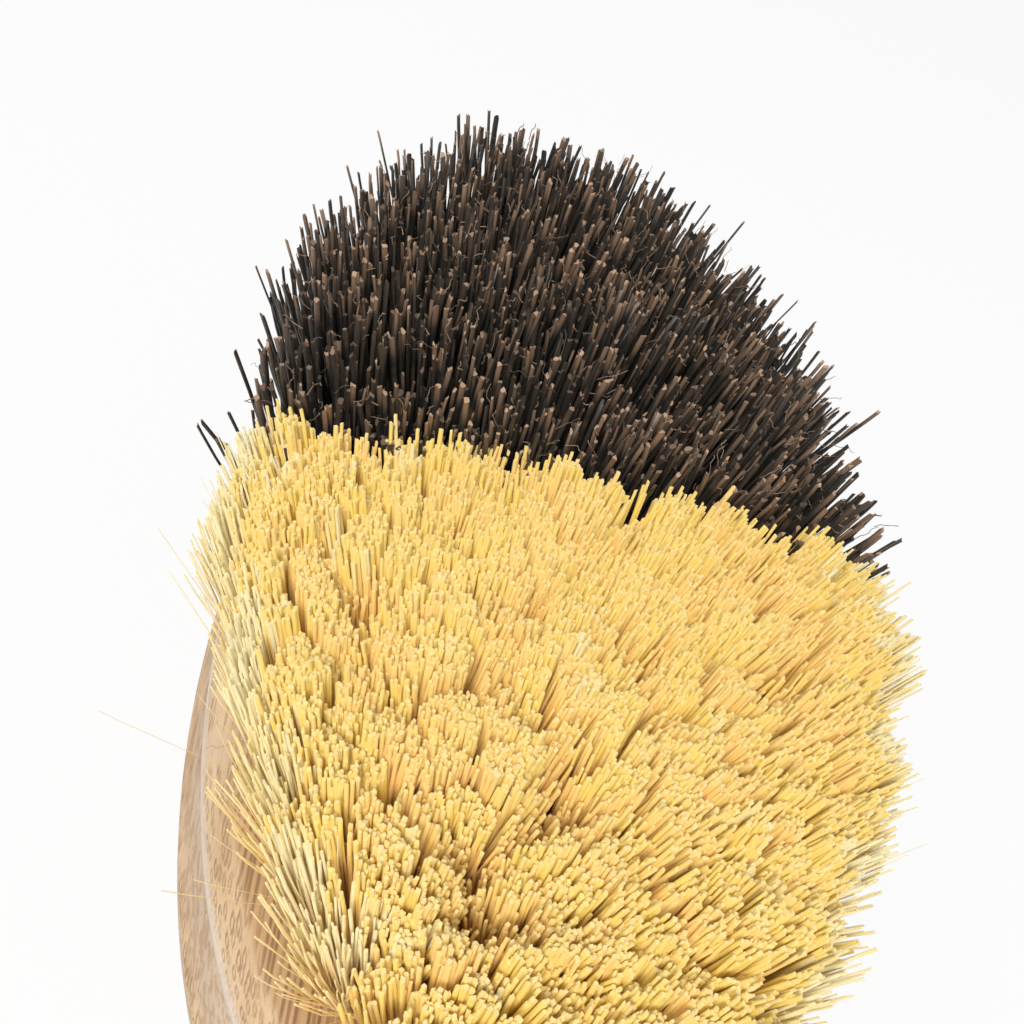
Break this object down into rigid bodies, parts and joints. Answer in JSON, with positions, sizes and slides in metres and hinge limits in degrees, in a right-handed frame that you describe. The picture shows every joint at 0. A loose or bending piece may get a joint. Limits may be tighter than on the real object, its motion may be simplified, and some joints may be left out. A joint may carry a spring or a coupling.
{
  "type": "vegetable brush",
  "caption": "Oval bamboo scrubbing brush with a finger groove round its side, coarse dark palm bristles at one end and fine pale sisal bristles at the other.",
  "frame": {"origin": "centre of the flat back that the brush rests on, bristles up", "axes": "+Z from the flat back towards the bristle tips, +Y along the brush towards the coarse palm end, X across it"},
  "size_m": [0.0645, 0.124, 0.0491],
  "materials": {
    "bamboo": "fine-sanded laminated bamboo, lightly oiled, with straight grain and small dark vascular dots",
    "palm_fibre": "coarse dark brown palm fibre, dull, with paler square-cut ends",
    "sisal_fibre": "fine pale yellow sisal fibre with a soft sheen and uneven cut ends"
  },
  "bodies": {
    "root": {"bamboo_block": "bamboo", "palm_tuft_01": "palm_fibre", "palm_tuft_02": "palm_fibre", "palm_tuft_03": "palm_fibre", "palm_tuft_04": "palm_fibre", "palm_tuft_05": "palm_fibre", "palm_tuft_06": "palm_fibre", "palm_tuft_07": "palm_fibre", "palm_tuft_08": "palm_fibre", "palm_tuft_09": "palm_fibre", "palm_tuft_10": "palm_fibre", "palm_tuft_11": "palm_fibre", "palm_tuft_12": "palm_fibre", "palm_tuft_13": "palm_fibre", "palm_tuft_14": "palm_fibre", "palm_tuft_15": "palm_fibre", "palm_tuft_16": "palm_fibre", "palm_tuft_17": "palm_fibre", "palm_tuft_18": "palm_fibre", "palm_tuft_19": "palm_fibre", "palm_tuft_20": "palm_fibre", "palm_tuft_21": "palm_fibre", "palm_tuft_22": "palm_fibre", "palm_tuft_23": "palm_fibre", "palm_tuft_24": "palm_fibre", "palm_tuft_25": "palm_fibre", "palm_tuft_26": "palm_fibre", "palm_tuft_27": "palm_fibre", "palm_tuft_28": "palm_fibre", "palm_tuft_29": "palm_fibre", "palm_tuft_30": "palm_fibre", "palm_tuft_31": "palm_fibre", "sisal_tuft_01": "sisal_fibre", "sisal_tuft_02": "sisal_fibre", "sisal_tuft_03": "sisal_fibre", "sisal_tuft_04": "sisal_fibre", "sisal_tuft_05": "sisal_fibre", "sisal_tuft_06": "sisal_fibre", "sisal_tuft_07": "sisal_fibre", "sisal_tuft_08": "sisal_fibre", "sisal_tuft_09": "sisal_fibre", "sisal_tuft_10": "sisal_fibre", "sisal_tuft_11": "sisal_fibre", "sisal_tuft_12": "sisal_fibre", "sisal_tuft_13": "sisal_fibre", "sisal_tuft_14": "sisal_fibre", "sisal_tuft_15": "sisal_fibre", "sisal_tuft_16": "sisal_fibre", "sisal_tuft_17": "sisal_fibre", "sisal_tuft_18": "sisal_fibre", "sisal_tuft_19": "sisal_fibre", "sisal_tuft_20": "sisal_fibre", "sisal_tuft_21": "sisal_fibre", "sisal_tuft_22": "sisal_fibre", "sisal_tuft_23": "sisal_fibre", "sisal_tuft_24": "sisal_fibre", "sisal_tuft_25": "sisal_fibre"}
  },
  "joints": []
}
